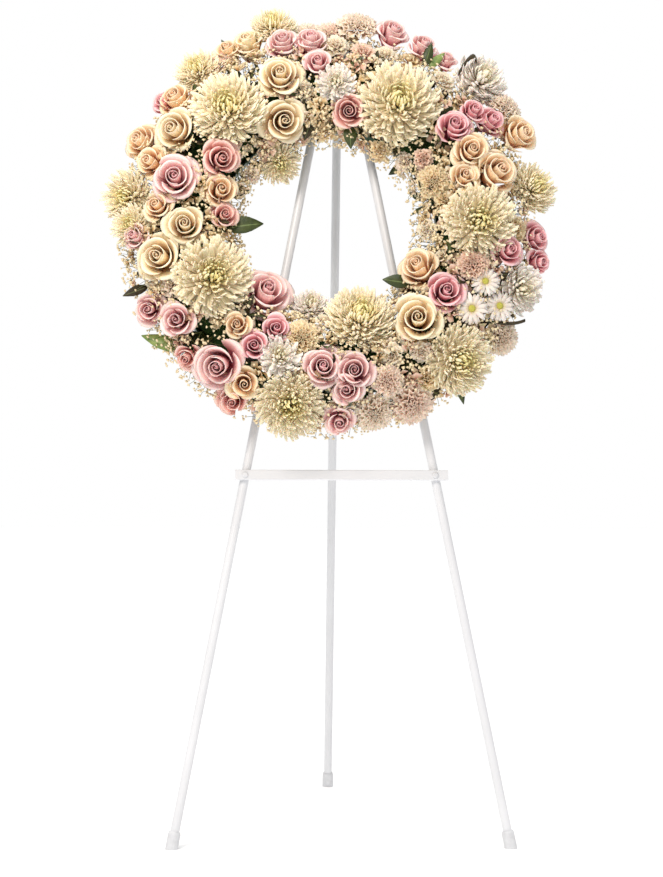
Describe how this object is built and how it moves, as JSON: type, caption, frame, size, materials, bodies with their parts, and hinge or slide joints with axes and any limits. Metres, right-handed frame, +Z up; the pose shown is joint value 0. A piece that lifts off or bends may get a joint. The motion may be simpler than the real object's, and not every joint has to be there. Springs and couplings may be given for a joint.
{
  "type": "funeral wreath on easel",
  "caption": "Round wreath of fresh cream, white and pink flowers on a foam ring, hung on the hook of a white three-legged folding easel.",
  "frame": {"origin": "middle of the whole object's box, on the floor under the feet", "axes": "+Z up, the wreath faces -Y, +X to the right seen from the front"},
  "size_m": [0.651, 0.5812, 1.2047],
  "materials": {
    "white_enamel": "satin",
    "zinc_rivet": "satin",
    "white_rivet": "satin",
    "white_cap": "matte",
    "floral_foam": "matte",
    "green_tray": "matte",
    "green_wire": "satin",
    "filler_flower": "matte",
    "chrysanthemum_petal": "matte",
    "white_petal": "matte",
    "pink_petal": "matte",
    "blush_petal": "matte",
    "cream_petal": "matte",
    "peach_petal": "matte"
  },
  "bodies": {
    "front_frame": {"front_leg_left": "white_enamel", "front_leg_right": "white_enamel", "crossbar": "white_enamel", "apex_bracket": "white_enamel", "hinge_pin": "zinc_rivet", "leg_rivet_left": "zinc_rivet", "leg_rivet_right": "zinc_rivet", "crossbar_rivet_left": "white_rivet", "crossbar_rivet_right": "white_rivet", "foot_cap_left": "white_cap", "foot_cap_right": "white_cap", "foam_ring": "floral_foam", "ring_tray": "green_tray", "hanger_wire": "green_wire", "babys_breath": "filler_flower", "chrysanthemum_1": "chrysanthemum_petal", "chrysanthemum_2": "white_petal", "chrysanthemum_3": "chrysanthemum_petal", "chrysanthemum_4": "chrysanthemum_petal", "chrysanthemum_5": "white_petal", "chrysanthemum_6": "chrysanthemum_petal", "chrysanthemum_7": "chrysanthemum_petal", "chrysanthemum_8": "chrysanthemum_petal", "chrysanthemum_9": "chrysanthemum_petal", "chrysanthemum_10": "chrysanthemum_petal", "chrysanthemum_11": "chrysanthemum_petal", "chrysanthemum_12": "chrysanthemum_petal", "chrysanthemum_13": "chrysanthemum_petal", "carnation_1": "white_petal", "carnation_2": "white_petal", "carnation_3": "blush_petal", "pink_rose_1": "pink_petal", "pink_rose_2": "pink_petal", "pink_rose_3": "pink_petal", "pink_rose_4": "pink_petal", "pink_rose_5": "pink_petal", "pink_rose_6": "pink_petal", "pink_rose_7": "pink_petal", "cream_rose_1": "peach_petal", "cream_rose_2": "peach_petal", "cream_rose_3": "peach_petal", "cream_rose_4": "cream_petal", "cream_rose_5": "cream_petal", "cream_rose_6": "cream_petal", "cream_rose_7": "cream_petal", "cream_rose_8": "cream_petal", "cream_rose_9": "cream_petal", "cream_rose_10": "cream_petal", "pink_spray_1": "pink_petal", "pink_spray_2": "pink_petal", "pink_spray_3": "pink_petal", "pink_spray_4": "pink_petal", "pink_spray_5": "pink_petal", "pink_spray_6": "pink_petal", "pink_spray_7": "pink_petal", "peach_spray_1": "peach_petal", "peach_spray_2": "peach_petal", "peach_spray_3": "peach_petal"},
    "back_leg": {"back_leg": "white_enamel", "foot_cap_back": "white_cap"}
  },
  "joints": [
    {"name": "back_leg_fold", "type": "hinge", "parent": "front_frame", "child": "back_leg", "pos_m": [0.01383, -0.04901, 1.14987], "axis": [1, 0, 0], "range_deg": [-25, 0]}
  ]
}
